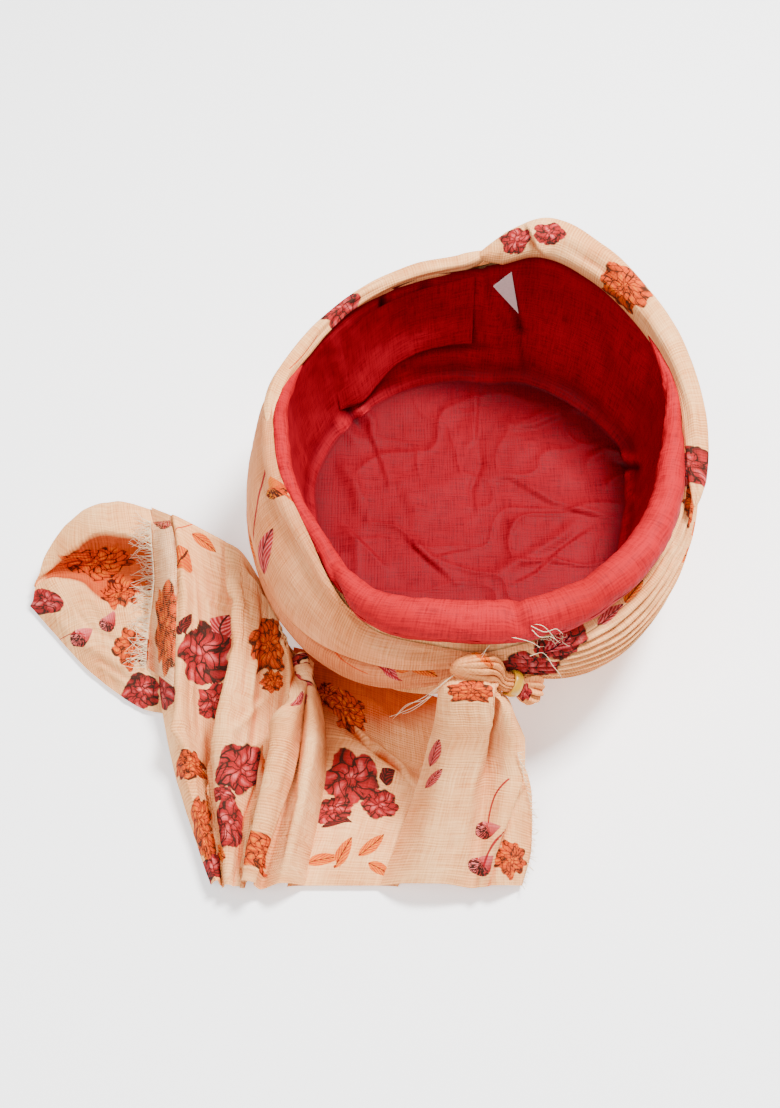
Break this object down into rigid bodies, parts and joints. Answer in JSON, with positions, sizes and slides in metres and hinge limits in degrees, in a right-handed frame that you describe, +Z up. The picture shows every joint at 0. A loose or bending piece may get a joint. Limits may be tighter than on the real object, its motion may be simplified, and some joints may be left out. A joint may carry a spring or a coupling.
{
  "type": "tied turban",
  "caption": "Pre-tied soft turban of wound printed cloth with a lined head opening, a raised front roll, a side knot and a long folded tail; it rests on its crown.",
  "frame": {"origin": "centre of the flattened crown, on the surface that the turban rests on", "axes": "+Z up out of the head opening; +Y towards the raised front; the knot is at -Y and the tail lies towards -X and -Y"},
  "size_m": [0.3124, 0.288, 0.1181],
  "materials": {
    "peach_cloth": "thin printed muslin, matt",
    "red_lining": "glazed plain-weave cotton",
    "tie_rubber": "smooth, slightly clear",
    "label_tape": "blank woven tape"
  },
  "bodies": {
    "root": {"cap_body": "peach_cloth", "lining_wall": "red_lining", "lining_floor": "red_lining", "lining_hem": "red_lining", "rim_roll": "red_lining", "front_roll": "peach_cloth", "edge_roll": "peach_cloth", "left_band": "peach_cloth", "left_lower_band": "peach_cloth", "pleat_1": "peach_cloth", "pleat_2": "peach_cloth", "pleat_3": "peach_cloth", "pleat_4": "peach_cloth", "knot": "peach_cloth", "knot_tuft": "peach_cloth", "rubber_band": "tie_rubber", "tail_near": "peach_cloth", "tail_sheet": "peach_cloth", "tail_fan": "peach_cloth", "tail_end": "peach_cloth", "label": "label_tape"}
  },
  "joints": []
}
